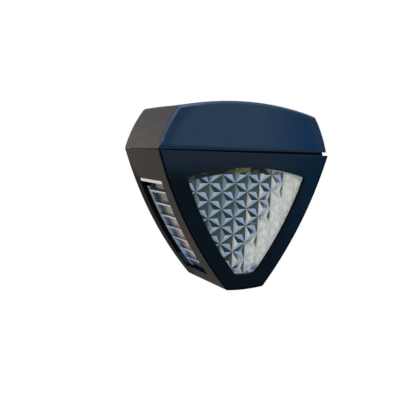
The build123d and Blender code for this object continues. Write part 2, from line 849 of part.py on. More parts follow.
# --- write every piece --------------------------------------------------------------------
pieces = {
    "cap_shell": cap_shell(),
    "panel_seal": panel_seal(),
    "panel_board": panel_layer(0, well_floor_z + seal_z, board_top_z),
    "solar_cells": solar_cells(),
    "panel_glass": panel_glass(),
    "lamp_tray": lamp_tray(),
    "tray_screws": tray_screws(),
    "circuit_board": circuit_board(),
    "board_screws": board_screws(),
    "led_lamps": led_lamps(),
    "driver_chip": driver_chip(),
    "choke_coil": choke_coil(),
    "panel_lead_red": panel_lead(-panel_lead_x),
    "panel_lead_black": panel_lead(panel_lead_x),
    "battery_holder": battery_holder(),
    "battery_cell": battery_cell(),
    "battery_spring": battery_spring(),
    "spring_contact": contact_plate(-1),
    "nub_contact": contact_plate(1),
    "battery_lead_black": battery_lead(-1),
    "battery_lead_red": battery_lead(1),
    "switch_case": switch_case(),
    "switch_plunger": switch_plunger(),
    "push_button": push_button(),
    "button_seal": button_seal(),
    "switch_leads": switch_leads(),
    "body_shell": body_shell(),
    "front_bezel": front_bezel(),
    "front_lens": front_lens(),
    "right_side_lens": right_side_lens(),
    "left_side_lens": mirror(right_side_lens(), about=Plane.YZ),
    "reflector": reflector(),
    "back_cover": back_cover(),
    "cover_seal": cover_seal(),
    "cover_screws": cover_screws(),
}
for name, piece in pieces.items():
    save(name, piece)
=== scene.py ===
import bpy
import bmesh
import math
from mathutils import Matrix, Vector


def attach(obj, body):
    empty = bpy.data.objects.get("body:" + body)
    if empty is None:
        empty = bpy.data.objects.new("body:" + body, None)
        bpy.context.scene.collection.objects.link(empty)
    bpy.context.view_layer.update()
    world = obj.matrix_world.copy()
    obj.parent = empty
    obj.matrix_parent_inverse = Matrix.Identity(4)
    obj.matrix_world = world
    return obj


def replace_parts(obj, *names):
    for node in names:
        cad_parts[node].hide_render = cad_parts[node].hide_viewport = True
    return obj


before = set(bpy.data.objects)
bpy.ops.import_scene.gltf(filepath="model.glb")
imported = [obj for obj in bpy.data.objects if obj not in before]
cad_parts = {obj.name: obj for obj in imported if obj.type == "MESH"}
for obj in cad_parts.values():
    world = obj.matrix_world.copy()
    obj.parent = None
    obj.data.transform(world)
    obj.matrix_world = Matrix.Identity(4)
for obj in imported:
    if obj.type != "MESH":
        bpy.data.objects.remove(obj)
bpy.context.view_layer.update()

mm = 0.001
print("frame loaded:", len(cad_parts), "pieces")


def rgb(*parts):  # a colour as a paint program shows it, 0 to 255, made linear
    steps = [part / 255 for part in parts]
    return tuple(s / 12.92 if s < 0.04 else ((s + 0.055) / 1.055) ** 2.4 for s in steps) + (1.0,)


# camera, from the outline of the light in the photograph
cameraSet = {
    "spot": (-176.7 * mm, -295.4 * mm, 16.2 * mm),
    "azimuth": 30.87,      # degrees to the right of straight in
    "tilt": -6.5,          # a little downwards
    "roll": 2.26,
    "lens": 44.51,
    "sensor": 36.0,
    "nearest": 0.01,
}


def placeCamera():
    data = bpy.data.cameras.new("photoCamera")
    data.lens = cameraSet["lens"]
    data.sensor_width = cameraSet["sensor"]
    data.clip_start = cameraSet["nearest"]
    camera = bpy.data.objects.new("photoCamera", data)
    bpy.context.scene.collection.objects.link(camera)
    turn = Matrix.Rotation(math.radians(-cameraSet["azimuth"]), 4, "Z")
    tilt = Matrix.Rotation(math.radians(90 + cameraSet["tilt"]), 4, "X")
    roll = Matrix.Rotation(math.radians(cameraSet["roll"]), 4, "Z")
    camera.matrix_world = Matrix.Translation(cameraSet["spot"]) @ turn @ tilt @ roll
    bpy.context.scene.camera = camera


# soft light: a cool box in front, a warm one at the left and a small one above
lightSet = {
    "aim": (0, -24 * mm, -10 * mm),
    "boxes": {
        "frontSoftbox": {"spot": (0.35, -0.90, 0.45), "size": 0.7, "power": 4.5,
                         "colour": (0.86, 0.93, 1.0)},
        "leftSoftbox": {"spot": (-0.75, 0.90, 0.0), "size": 1.0, "power": 5.0,
                        "colour": (1.0, 0.86, 0.66)},
        "topSoftbox": {"spot": (0.30, -0.20, 0.80), "size": 0.5, "power": 3.0,
                       "colour": (0.95, 0.97, 1.0)},
    },
}
# pale room and floor: they look white, and light the object a little less than that
roomSet = {
    "colour": (0.90, 0.95, 1.0, 1.0),
    "strength": 0.61,
    "white": (1.0, 1.0, 1.0, 1.0),
    "floorTone": (0.92, 0.92, 0.92, 1.0),
    "floorDrop": 0.6,      # metres, low enough for a view from below
    "floorReach": 3.0,
}


def addSoftbox(name, spot, size, power, colour):
    data = bpy.data.lights.new(name, "AREA")
    data.shape = "SQUARE"
    data.size = size
    data.energy = power
    data.color = colour
    lamp = bpy.data.objects.new(name, data)
    bpy.context.scene.collection.objects.link(lamp)
    lamp.location = spot
    facing = Vector(lightSet["aim"]) - Vector(spot)
    lamp.rotation_euler = facing.to_track_quat("-Z", "Y").to_euler()


def feed(tree, socket, value):  # links a socket, or sets a plain number or colour
    if isinstance(value, bpy.types.NodeSocket):
        tree.links.new(value, socket)
    else:
        socket.default_value = value


def mathOf(tree, operation, first, second=0.0):
    node = tree.nodes.new("ShaderNodeMath")
    node.operation = operation
    feed(tree, node.inputs[0], first)
    feed(tree, node.inputs[1], second)
    return node.outputs[0]


def seenDirectly(tree):  # 1 for camera, glossy and see-through rays, 0 for rays that light things
    path = tree.nodes.new("ShaderNodeLightPath")
    mirrored = mathOf(tree, "MAXIMUM", path.outputs["Is Camera Ray"],
                      path.outputs["Is Glossy Ray"])
    return mathOf(tree, "MAXIMUM", mirrored, path.outputs["Is Transmission Ray"])


def joinShaders(tree, factor, plain, seen, out):
    mix = tree.nodes.new("ShaderNodeMixShader")
    tree.links.new(factor, mix.inputs["Fac"])
    tree.links.new(plain, mix.inputs[1])
    tree.links.new(seen, mix.inputs[2])
    tree.links.new(mix.outputs[0], out)


def makeRoom():
    world = bpy.data.worlds.new("paleRoom")
    bpy.context.scene.world = world
    world.use_nodes = True
    tree = world.node_tree
    tree.nodes.clear()
    out = tree.nodes.new("ShaderNodeOutputWorld")
    soft = tree.nodes.new("ShaderNodeBackground")
    soft.inputs["Color"].default_value = roomSet["colour"]
    soft.inputs["Strength"].default_value = roomSet["strength"]
    white = tree.nodes.new("ShaderNodeBackground")
    white.inputs["Color"].default_value = roomSet["white"]
    joinShaders(tree, seenDirectly(tree), soft.outputs[0], white.outputs[0],
                out.inputs["Surface"])


def makeFloor():
    mesh = bpy.data.meshes.new("paleFloor")
    sheet = bmesh.new()
    bmesh.ops.create_grid(sheet, x_segments=1, y_segments=1, size=roomSet["floorReach"])
    bmesh.ops.translate(sheet, vec=(0, 0, -roomSet["floorDrop"]), verts=sheet.verts)
    sheet.to_mesh(mesh)
    sheet.free()
    floor = bpy.data.objects.new("paleFloor", mesh)
    bpy.context.scene.collection.objects.link(floor)
    paint = bpy.data.materials.new("paleFloorPaint")
    paint.use_nodes = True
    tree = paint.node_tree
    tree.nodes.clear()
    out = tree.nodes.new("ShaderNodeOutputMaterial")
    matte = tree.nodes.new("ShaderNodeBsdfDiffuse")
    matte.inputs["Color"].default_value = roomSet["floorTone"]
    glow = tree.nodes.new("ShaderNodeEmission")
    joinShaders(tree, seenDirectly(tree), matte.outputs[0], glow.outputs[0],
                out.inputs["Surface"])
    mesh.materials.append(paint)


placeCamera()
makeRoom()
makeFloor()
for name, box in lightSet["boxes"].items():
    addSoftbox(name, **box)
bpy.context.scene.view_settings.view_transform = "Standard"
print("camera, light and floor placed")


# small helpers for the node trees
def spanOf(tree, value, low, high, first=0.0, last=1.0, smooth=False):
    node = tree.nodes.new("ShaderNodeMapRange")
    node.interpolation_type = "SMOOTHSTEP" if smooth else "LINEAR"
    feed(tree, node.inputs["Value"], value)
    for title, number in (("From Min", low), ("From Max", high), ("To Min", first),
                          ("To Max", last)):
        feed(tree, node.inputs[title], number)
    return node.outputs["Result"]


def fadeOf(tree, value, ends, smooth=False):  # 0 at the first place and 1 at the second, in mm
    first, last = ends
    return spanOf(tree, value, first * mm, last * mm, smooth=smooth)


def blendOf(tree, factor, first, second, how="MIX"):
    mix = tree.nodes.new("ShaderNodeMix")
    mix.data_type = "RGBA"
    mix.blend_type = how
    feed(tree, mix.inputs["Factor"], factor)
    feed(tree, mix.inputs[6], first)
    feed(tree, mix.inputs[7], second)
    return mix.outputs[2]


def spotOf(tree):
    return tree.nodes.new("ShaderNodeTexCoord").outputs["Object"]


def splitOf(tree, vector):
    split = tree.nodes.new("ShaderNodeSeparateXYZ")
    tree.links.new(vector, split.inputs[0])
    return split.outputs


def facingOf(tree):
    return splitOf(tree, tree.nodes.new("ShaderNodeTexCoord").outputs["Normal"])


def noiseOf(tree, spot, scale, detail=2.0, stretch=None):
    if stretch:
        mapping = tree.nodes.new("ShaderNodeMapping")
        mapping.inputs["Scale"].default_value = stretch
        tree.links.new(spot, mapping.inputs["Vector"])
        spot = mapping.outputs["Vector"]
    noise = tree.nodes.new("ShaderNodeTexNoise")
    tree.links.new(spot, noise.inputs["Vector"])
    feed(tree, noise.inputs["Scale"], scale)
    noise.inputs["Detail"].default_value = detail
    return noise.outputs["Fac"]


def swingOf(tree, noise, first=0.0, last=1.0):  # spreads a noise over the values it mostly takes
    return spanOf(tree, noise, 0.3, 0.7, first, last)


def patchesOf(tree, spot, scale, detail, low, high, first=0.0, last=1.0):
    return spanOf(tree, noiseOf(tree, spot, scale, detail), low, high, first, last)


def underCurve(tree, axes, circle):  # depth under a curved edge, from its circle in x and z
    centreX, centreZ, radius = circle
    out = mathOf(tree, "SUBTRACT", mathOf(tree, "ABSOLUTE", axes["X"]), centreX * mm)
    up = mathOf(tree, "SUBTRACT", axes["Z"], centreZ * mm)
    reach = mathOf(tree, "SQRT", mathOf(tree, "ADD", mathOf(tree, "MULTIPLY", out, out),
                                        mathOf(tree, "MULTIPLY", up, up)))
    return mathOf(tree, "SUBTRACT", radius * mm, reach)


def bumpOf(tree, shader, height, strength, distance=0.05 * mm):
    relief = tree.nodes.new("ShaderNodeBump")
    relief.inputs["Strength"].default_value = strength
    relief.inputs["Distance"].default_value = distance
    tree.links.new(height, relief.inputs["Height"])
    tree.links.new(relief.outputs["Normal"], shader.inputs["Normal"])


def newGroup(name, inputs, outputs):
    group = bpy.data.node_groups.new(name, "ShaderNodeTree")
    for title, kind, value in inputs:
        socket = group.interface.new_socket(title, in_out="INPUT", socket_type=kind)
        socket.default_value = value
    for title, kind in outputs:
        group.interface.new_socket(title, in_out="OUTPUT", socket_type=kind)
    return group, group.nodes.new("NodeGroupInput"), group.nodes.new("NodeGroupOutput")


def dropIn(tree, group, values):
    node = tree.nodes.new("ShaderNodeGroup")
    node.node_tree = group
    for title, value in values.items():
        feed(tree, node.inputs[title], value)
    return node.outputs


# effects that several materials share; patches are a noise's scale, its detail and where it fades
grainSet = {
    "flowScale": 150.0,
    "flowDetail": 4.0,
    "flowStretch": (0.35, 0.35, 1.8),      # level streaks
    "finePatches": (800.0, 3.0, 0.35, 0.65),
    "fineShare": 0.35,
    "mottled": (0.4, 1.0),
    "lighter": (1.6, 1.55, 1.5, 1.0),
    "roughSwing": 0.05,
}
# the rounded edges' painted light, and the wear that rubs it paler
edgeLightAndRubSet = {
    "turned": (0.25, 0.7),                 # how far an edge turns forwards to take the painted edge light and the rub
    "flat": (0.995, 0.86),                 # and what faces straight forwards is left out
    "patches": (320.0, 4.0, 0.5, 0.72),
}
dustSet = {
    "upward": (0.55, 0.95),
    "patches": (260.0, 4.0, 0.4, 0.75),
}


def makeMouldGroup():  # flow streaks in the colour, and a fine grain for roughness and bump
    group, start, end = newGroup(
        "mouldGrain",
        [("Colour", "NodeSocketColor", (0.05, 0.05, 0.05, 1)),
         ("Streak", "NodeSocketFloat", 0.2), ("Roughness", "NodeSocketFloat", 0.45),
         ("Grain", "NodeSocketFloat", 3200.0)],
        [("Colour", "NodeSocketColor"), ("Roughness", "NodeSocketFloat"),
         ("Height", "NodeSocketFloat")])
    given = start.outputs
    spot = spotOf(group)
    flow = noiseOf(group, spot, grainSet["flowScale"], grainSet["flowDetail"],
                   stretch=grainSet["flowStretch"])
    grain = noiseOf(group, spot, given["Grain"])
    lighter = blendOf(group, 1.0, given["Colour"], grainSet["lighter"], "MULTIPLY")
    fine = patchesOf(group, spot, *grainSet["finePatches"])
    both = mathOf(group, "ADD", flow, mathOf(group, "MULTIPLY", fine, grainSet["fineShare"]))
    mottled = spanOf(group, both, *grainSet["mottled"])
    amount = mathOf(group, "MULTIPLY", mottled, given["Streak"])
    swing = grainSet["roughSwing"]
    rough = mathOf(group, "ADD", given["Roughness"], swingOf(group, grain, -swing, swing))
    feed(group, end.inputs["Colour"], blendOf(group, amount, given["Colour"], lighter))
    feed(group, end.inputs["Roughness"], rough)
    feed(group, end.inputs["Height"], grain)
    return group


def makeEdgeLightAndRubGroup():  # painted light on the rounded front and rear edges, rubbed paler in places
    group, start, end = newGroup(
        "edgeLightAndRub",
        [("Colour", "NodeSocketColor", (0.05, 0.05, 0.05, 1)),
         ("Edge", "NodeSocketColor", (0.05, 0.05, 0.05, 1)),
         ("Rubbed", "NodeSocketColor", (0.1, 0.1, 0.1, 1)), ("Amount", "NodeSocketFloat", 0.5)],
        [("Colour", "NodeSocketColor")])
    given = start.outputs
    forward = mathOf(group, "ABSOLUTE", facingOf(group)["Y"])
    # the band of rounded edge that takes the painted light
    edge = mathOf(group, "MULTIPLY", spanOf(group, forward, *edgeLightAndRubSet["turned"]),
                  spanOf(group, forward, *edgeLightAndRubSet["flat"]))
    broken = patchesOf(group, spotOf(group), *edgeLightAndRubSet["patches"])
    # the painted edge colour, rubbed paler in patches as wear
    worn = blendOf(group, mathOf(group, "MULTIPLY", broken, given["Amount"]), given["Edge"],
                   given["Rubbed"])
    feed(group, end.inputs["Colour"], blendOf(group, edge, given["Colour"], worn))
    return group


def makeDustGroup():  # dust that settles on what faces up
    group, start, end = newGroup(
        "settledDust",
        [("Colour", "NodeSocketColor", (0.05, 0.05, 0.05, 1)),
         ("Dust", "NodeSocketColor", (0.3, 0.28, 0.24, 1)), ("Amount", "NodeSocketFloat", 0.1)],
        [("Colour", "NodeSocketColor")])
    given = start.outputs
    upward = spanOf(group, facingOf(group)["Z"], *dustSet["upward"])
    patchy = patchesOf(group, spotOf(group), *dustSet["patches"])
    amount = mathOf(group, "MULTIPLY", mathOf(group, "MULTIPLY", upward, patchy),
                    given["Amount"])
    feed(group, end.inputs["Colour"], blendOf(group, amount, given["Colour"], given["Dust"]))
    return group


mouldGroup = makeMouldGroup()
edgeLightAndRubGroup = makeEdgeLightAndRubGroup()
dustGroup = makeDustGroup()


def newMaterial(name, roughness=0.5, metallic=0.0, specular=0.5):
    material = bpy.data.materials.new(name)
    material.use_nodes = True
    tree = material.node_tree
    shader = tree.nodes["Principled BSDF"]
    shader.inputs["Roughness"].default_value = roughness
    shader.inputs["Metallic"].default_value = metallic
    shader.inputs["Specular IOR Level"].default_value = specular
    return material, tree, shader


def makeClear(shader, clearness, bend=1.5):
    shader.inputs["Transmission Weight"].default_value = clearness
    shader.inputs["IOR"].default_value = bend


def tinted(tree, colour, tints, axes):  # lays each tint over the colour, along one axis
    for axis, low, high, tint in tints:
        mask = fadeOf(tree, axes[axis], (low, high), smooth=True)
        colour = blendOf(tree, mask, colour, tint)
    return colour


def rearCornerOf(tree, axes, corner):  # where painted shade falls: towards the wall, and below a slanting line
    slope, shift, front = corner
    low = mathOf(tree, "SUBTRACT", mathOf(tree, "ADD", axes["Y"], shift * mm),
                 mathOf(tree, "MULTIPLY", axes["Z"], slope))
    return mathOf(tree, "MINIMUM", low, mathOf(tree, "ADD", axes["Y"], front * mm))


def insideOf(tree, axes, box):  # how far inside a box, given as two ends along each axis
    inside = None
    for axis, low, high in box:
        for gap in (mathOf(tree, "SUBTRACT", axes[axis], low * mm),
                    mathOf(tree, "SUBTRACT", high * mm, axes[axis])):
            inside = gap if inside is None else mathOf(tree, "MINIMUM", inside, gap)
    return inside


sideLightTurn = (0.45, 0.68)    # how far a face turns sideways to take the side's painted light


def mouldedPlastic(name, look):
    material, tree, shader = newMaterial(name, specular=look["specular"])
    place = splitOf(tree, spotOf(tree))
    axes = {"X": place["X"], "Y": place["Y"], "Z": place["Z"]}
    if "curve" in look:
        axes["under"] = underCurve(tree, axes, look["curve"])
    if "rearCorner" in look:
        axes["rear"] = rearCornerOf(tree, axes, look["rearCorner"])
    if "recessFloor" in look:
        axes["recess"] = insideOf(tree, axes, look["recessFloor"])
    colour = tinted(tree, look["colour"], look.get("tints", []), axes)
    # painted light: faces turned sideways take a lit side colour instead of the front's
    if "side" in look:
        sideways = mathOf(tree, "ABSOLUTE", facingOf(tree)["X"])
        side = tinted(tree, look["side"], look.get("sideTints", []), axes)
        colour = blendOf(tree, spanOf(tree, sideways, *sideLightTurn), colour, side)
    mould = dropIn(tree, mouldGroup, {"Colour": colour, "Streak": look["streak"],
                                      "Roughness": look["roughness"], "Grain": look["grain"]})
    # painted light on the rounded edges: a highlight on most pieces, painted shade on the body
    edge = tinted(tree, look["edge"], look.get("edgeTints", []), axes)
    rub = dropIn(tree, edgeLightAndRubGroup, {"Colour": mould["Colour"], "Edge": edge,
                                  "Rubbed": look["rubbed"], "Amount": look["rub"]})
    dust = dropIn(tree, dustGroup, {"Colour": rub["Colour"], "Amount": look["dust"]})
    feed(tree, shader.inputs["Base Color"], dust["Colour"])
    feed(tree, shader.inputs["Roughness"], mould["Roughness"])
    bumpOf(tree, shader, mould["Height"], look["bump"])
    return material


def dress(material, *names):
    for name in names:
        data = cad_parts[name].data
        data.materials.clear()
        data.materials.append(material)


# the casing's curved sides: centre x and z, and radius, in mm
capCurve = (-6.385, -3.42, 69.42)
bodyCurve = (-160.65, 89.16, 233.23)

# cap: dark blue in front; painted light: bluer to the right, lit grey sides, a violet highlight
# on the front edge
# a tint has its axis, the places in mm where it begins and is full, and its colour
capSet = {
    "curve": capCurve,
    "colour": rgb(37, 55, 72),
    # painted light: bluer to the right; painted shade near the curved edge and just above the
    # seam
    "tints": [("X", -5, 52, rgb(8, 40, 68)), ("under", 10, 4, rgb(24, 44, 66)),
              ("Z", 18.6, 17.0, rgb(20, 36, 56))],
    # painted violet highlight on the rounded front edge, bluer high up, plainer away from the
    # left edge
    "edge": rgb(84, 84, 104),
    "edgeTints": [("Z", 26, 36, rgb(80, 98, 122)), ("X", -40, -28, rgb(50, 68, 90))],
    # the sides painted a warm lit grey, a little darker and more violet high up
    "side": rgb(77, 75, 73),
    "sideTints": [("Z", 22, 40, rgb(67, 62, 70))],
    "rubbed": rgb(104, 114, 132), "rub": 0.35, "streak": 0.4, "dust": 0.08,
    "roughness": 0.5, "specular": 0.04, "grain": 3200.0, "bump": 0.2,
}
capPlastic = mouldedPlastic("capPlastic", capSet)
dress(capPlastic, "cap_shell")

# the cap as it is seen: the node's own shape with its front edge rounded over
capEdge = {
    "radius": 2.2,
    "segments": 5,
    "front": -47.15,       # edges in front of this are rounded
    "foot": 17.5,          # if they are above this, so the seam's edge stays crisp
    "corner": 1.0,         # and turn by more than this, in radians
    "settle": 0.08,        # the lower rim comes down on the body by this
    "rimTop": 17.3,
    "crease": 32,          # degrees, above which an edge shades sharp
}


def newPiece(name, mesh, material, body):
    data = bpy.data.meshes.new(name)
    mesh.to_mesh(data)
    mesh.free()
    data.materials.append(material)
    piece = bpy.data.objects.new(name, data)
    bpy.context.scene.collection.objects.link(piece)
    even = piece.modifiers.new("evenShading", "WEIGHTED_NORMAL")
    even.keep_sharp = True
    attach(piece, body)
    return piece


def shadeByAngle(mesh, degrees):
    for face in mesh.faces:
        face.smooth = True
    for edge in mesh.edges:
        edge.smooth = edge.calc_face_angle(0.0) < math.radians(degrees)


def roundOver(mesh, edges, radius, segments):
    bmesh.ops.bevel(mesh, geom=edges, offset=radius * mm, affect="EDGES", segments=segments,
                    profile=0.5, material=-1)


def mergedCopy(nodeName, gap=0.005, flat=0.5):  # a node's triangles joined into whole faces
    copy = bmesh.new()
    copy.from_mesh(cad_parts[nodeName].data)
    bmesh.ops.remove_doubles(copy, verts=copy.verts, dist=gap * mm)
    bmesh.ops.dissolve_limit(copy, angle_limit=math.radians(flat), verts=copy.verts,
                             edges=copy.edges)
    return copy


def makeRoundedCap():
    shell = mergedCopy("cap_shell")
    front = [edge for edge in shell.edges
             if all(vert.co.y < capEdge["front"] * mm for vert in edge.verts)
             and sum(vert.co.z for vert in edge.verts) / 2 > capEdge["foot"] * mm
             and edge.calc_face_angle(0.0) > capEdge["corner"]]
    roundOver(shell, front, capEdge["radius"], capEdge["segments"])
    rim = [vert for vert in shell.verts if vert.co.z < capEdge["rimTop"] * mm]
    bmesh.ops.translate(shell, vec=(0, 0, -capEdge["settle"] * mm), verts=rim)
    shadeByAngle(shell, capEdge["crease"])
    print("cap edge rounded:", len(front), "edges")
    cap = newPiece("roundedCap", shell, capPlastic, "casing")
    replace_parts(cap, "cap_shell")


makeRoundedCap()

# body, bezel, cover and tray are one dark moulding, each in its own tones and painted light
darkMould = {
    "rubbed": rgb(50, 62, 78), "rub": 0.3, "streak": 0.35, "dust": 0.08,
    "roughness": 0.56, "specular": 0.02, "grain": 3200.0, "bump": 0.2,
}
# painted light on the dark front: lighter towards the top and bluer to the right
frontLightTints = [("Z", -2, 10, rgb(24, 34, 45)), ("X", 10, 55, rgb(6, 28, 46))]
# nearly black in front, with a painted highlight under the seam, and sides painted a lit warm
# grey
bodySet = dict(
    darkMould,
    curve=bodyCurve,
    rearCorner=(1.27, 3.8, 12.0),          # painted shade at the rear corner: slope, and mm of shift down and forwards
    recessFloor=(("under", 0.5, 6.0), ("Y", -41.0, -7.0), ("Z", -59.0, -50.0)),
    colour=rgb(6, 15, 22),
    tints=frontLightTints + [("Z", 12.4, 13.4, rgb(26, 40, 56)),        # painted highlight just under the seam
                        ("recess", 0.0, 0.4, rgb(48, 62, 88))],    # painted light on the foot of a side recess
    # painted shade on the rounded front edges, a dark line
    edge=rgb(8, 10, 13),
    # the sides painted a lit warm grey, with painted shade lower down and near black at the rear
    # corner
    side=rgb(57, 52, 47),
    sideTints=[("Z", -26, 8, rgb(59, 53, 48)), ("Z", -36, -52, rgb(46, 44, 40)),
               ("rear", -9, 4, rgb(13, 12, 12))],
)
# the bezel: painted front light, a paler painted highlight on its edges and a painted side colour
bezelSet = dict(darkMould, colour=bodySet["colour"], tints=frontLightTints, edge=rgb(22, 30, 40),
                side=rgb(12, 18, 25))
# cover and tray: slightly paler painted highlights on their edges
coverSet = dict(darkMould, colour=rgb(24, 27, 31), edge=rgb(30, 33, 37), grain=1500.0,
                bump=0.45, specular=0.3)
# the tray painted near black, as painted shade in the seam where it shows
traySet = dict(darkMould, colour=rgb(5, 6, 8), edge=rgb(8, 9, 11), grain=2400.0, bump=0.45,
               specular=0.04, dust=0.02)
bezelPlastic = mouldedPlastic("bezelPlastic", bezelSet)
dress(mouldedPlastic("bodyPlastic", bodySet), "body_shell")
dress(bezelPlastic, "front_bezel")
dress(mouldedPlastic("coverPlastic", coverSet), "back_cover")
dress(mouldedPlastic("trayPlastic", traySet), "lamp_tray")

# the bezel as it is seen: pushed up in its recess, so its shadow line shows at the sides only
bezelFit = {
    "topBand": 0.9,        # mm below its top edge that go up
    "front": -45.35,       # the plate in front of this
    "rise": 0.72,
    "crease": 32,
}


def makeFittedBezel():
    plate = mergedCopy("front_bezel")
    top = max(vert.co.z for vert in plate.verts) - bezelFit["topBand"] * mm
    band = [vert for vert in plate.verts
            if vert.co.z > top and vert.co.y < bezelFit["front"] * mm]
    bmesh.ops.translate(plate, vec=(0, 0, bezelFit["rise"] * mm), verts=band)
    shadeByAngle(plate, bezelFit["crease"])
    print("bezel fitted:", len(band), "points up")
    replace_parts(newPiece("fittedBezel", plate, bezelPlastic, "casing"),
                "front_bezel")


makeFittedBezel()
print("cap, body, bezel, cover and tray finished")

# front lens: painted light: each facet's tone comes from the way it faces, and a painted cream
# light washes the tones out to the right
lensSet = {
    "clearness": 0.15, "roughness": 0.1, "specular": 0.06,
    "turned": 0.15,                # how far a facet turns to take its painted tone
    # painted light and shade on the facets, by the way each faces
    "downFacet": rgb(160, 178, 202),
    "upFacet": rgb(20, 46, 40),
    "leftFacet": rgb(120, 137, 142),
    "rightFacet": rgb(64, 75, 77),
    # painted cream light, washing the tones out to the right
    "wash": rgb(228, 223, 211),
    "washKeeps": 0.24,             # the share of its tone that a washed facet keeps
    "washLine": (0.517, 26.0),     # mm to the right per mm up, and mm right of the middle
    "washNoise": 120.0,
    "washRagged": 3.0,             # mm
    "washEnds": {"leftFacet": (-24.0, -14.0), "upFacet": (-7.0, 0.0),
                 "downFacet": (-5.0, 6.0), "rightFacet": (1.0, 9.0), "field": (-4.0, 6.0)},
    # the rim: painted shade at the left, painted highlights at the right and at the foot
    "rim": rgb(8, 16, 16),
    "rimRight": rgb(214, 216, 216), "rimRightEnds": (0.0, 12.0),
    "rimFoot": rgb(112, 126, 148), "rimFootEnds": (-54.0, -56.0),
    "headArc": (0.0, -160.45, 166.95),     # the window's top edge: centre x and z, radius
    "headDepth": (3.7, 2.9), "headFade": (22.0, 10.0),
    # painted shade: dark green under the top edge, with paler painted olive light in patches
    "headDark": rgb(6, 20, 12),
    "headLight": rgb(138, 142, 84),
    "glowEnds": ((-11.0, -9.0), (2.0, 0.0)),
    "glowPatches": (260.0, 2.0, 0.35, 0.6),
    # painted blue-grey highlight at the lower tip
    "tip": rgb(96, 112, 144), "tipEnds": (-51.0, -55.0), "tipRight": (0.0, 2.0),
    "tipPatches": (240.0, 2.0, 0.4, 0.55),
    "valleyShade": (0.78, 0.95),   # painted shade at the foot of a pyramid: at the left, and in the cream light
    # painted highlight on the ridges
    "ridgeLight": 1.1,
    "depths": (-44.62, -45.1),     # mm, of the valleys and the ridges
    "streakNoise": (700.0, 3.0), "streakStretch": (1.0, 1.0, 0.35), "streaks": (0.86, 1.14),
    "bumpNoise": 500.0, "bump": 0.15,
}


def washOf(tree, spot, axes):  # for each tone, how far the painted cream light covers it
    slope, middle = lensSet["washLine"]
    line = mathOf(tree, "ADD", mathOf(tree, "MULTIPLY", axes["Z"], slope), middle * mm)
    ragged = lensSet["washRagged"] * mm
    wander = swingOf(tree, noiseOf(tree, spot, lensSet["washNoise"]), -ragged, ragged)
    across = mathOf(tree, "ADD", mathOf(tree, "SUBTRACT", axes["X"], line), wander)
    return {tone: fadeOf(tree, across, ends, smooth=True)
            for tone, ends in lensSet["washEnds"].items()}


def paintedFacetLight(tree, axes, washed):
    colour = blendOf(tree, fadeOf(tree, axes["X"], lensSet["rimRightEnds"]), lensSet["rim"],
                     lensSet["rimRight"])
    colour = blendOf(tree, fadeOf(tree, axes["Z"], lensSet["rimFootEnds"]), colour,
                     lensSet["rimFoot"])
    facing = facingOf(tree)
    for axis, sign, tone in (("X", -1, "leftFacet"), ("X", 1, "rightFacet"),
                             ("Z", -1, "downFacet"), ("Z", 1, "upFacet")):
        turned = mathOf(tree, "MULTIPLY", facing[axis], sign)
        faced = mathOf(tree, "GREATER_THAN", turned, lensSet["turned"])
        pale = blendOf(tree, lensSet["washKeeps"], lensSet["wash"], lensSet[tone])
        colour = blendOf(tree, faced, colour, blendOf(tree, washed[tone], lensSet[tone], pale))
    return colour


def paintedHeadStrip(tree, spot, axes, colour):  # painted light and shade under the window's curved top, fading to the right
    strip = mathOf(tree, "MULTIPLY",
                   fadeOf(tree, underCurve(tree, axes, lensSet["headArc"]), lensSet["headDepth"]),
                   fadeOf(tree, axes["X"], lensSet["headFade"]))
    glowLeft, glowRight = lensSet["glowEnds"]
    glow = mathOf(tree, "MULTIPLY", fadeOf(tree, axes["X"], glowLeft),
                  fadeOf(tree, axes["X"], glowRight))
    glow = mathOf(tree, "MULTIPLY", glow, patchesOf(tree, spot, *lensSet["glowPatches"]))
    tone = blendOf(tree, glow, lensSet["headDark"], lensSet["headLight"])
    return blendOf(tree, strip, colour, tone)


# painted highlight in patches at the lower tip
def lowerTipHighlight(tree, spot, axes, colour):
    tip = mathOf(tree, "MULTIPLY", fadeOf(tree, axes["Z"], lensSet["tipEnds"]),
                 fadeOf(tree, axes["X"], lensSet["tipRight"]))
    tip = mathOf(tree, "MULTIPLY", tip, patchesOf(tree, spot, *lensSet["tipPatches"]))
    return blendOf(tree, tip, colour, lensSet["tip"])


def facetLens():
    material, tree, shader = newMaterial("facetLens", roughness=lensSet["roughness"],
                                         specular=lensSet["specular"])
    spot = spotOf(tree)
    axes = splitOf(tree, spot)
    washed = washOf(tree, spot, axes)
    colour = paintedFacetLight(tree, axes, washed)
    colour = paintedHeadStrip(tree, spot, axes, colour)
    colour = lowerTipHighlight(tree, spot, axes, colour)
    # painted shade in the valleys and painted highlight on the ridges, by depth
    valley = spanOf(tree, washed["field"], 0.0, 1.0, *lensSet["valleyShade"])
    foot, top = lensSet["depths"]
    height = spanOf(tree, axes["Y"], foot * mm, top * mm, valley, lensSet["ridgeLight"])
    streaks = noiseOf(tree, spot, *lensSet["streakNoise"], stretch=lensSet["streakStretch"])
    shade = mathOf(tree, "MULTIPLY", height, swingOf(tree, streaks, *lensSet["streaks"]))
    grey = tree.nodes.new("ShaderNodeCombineColor")
    for channel in grey.inputs:
        tree.links.new(shade, channel)
    colour = blendOf(tree, 1.0, colour, grey.outputs[0], "MULTIPLY")
    feed(tree, shader.inputs["Base Color"], colour)
    makeClear(shader, lensSet["clearness"])
    bumpOf(tree, shader, noiseOf(tree, spot, lensSet["bumpNoise"]), lensSet["bump"])
    return material


dress(facetLens(), "front_lens")

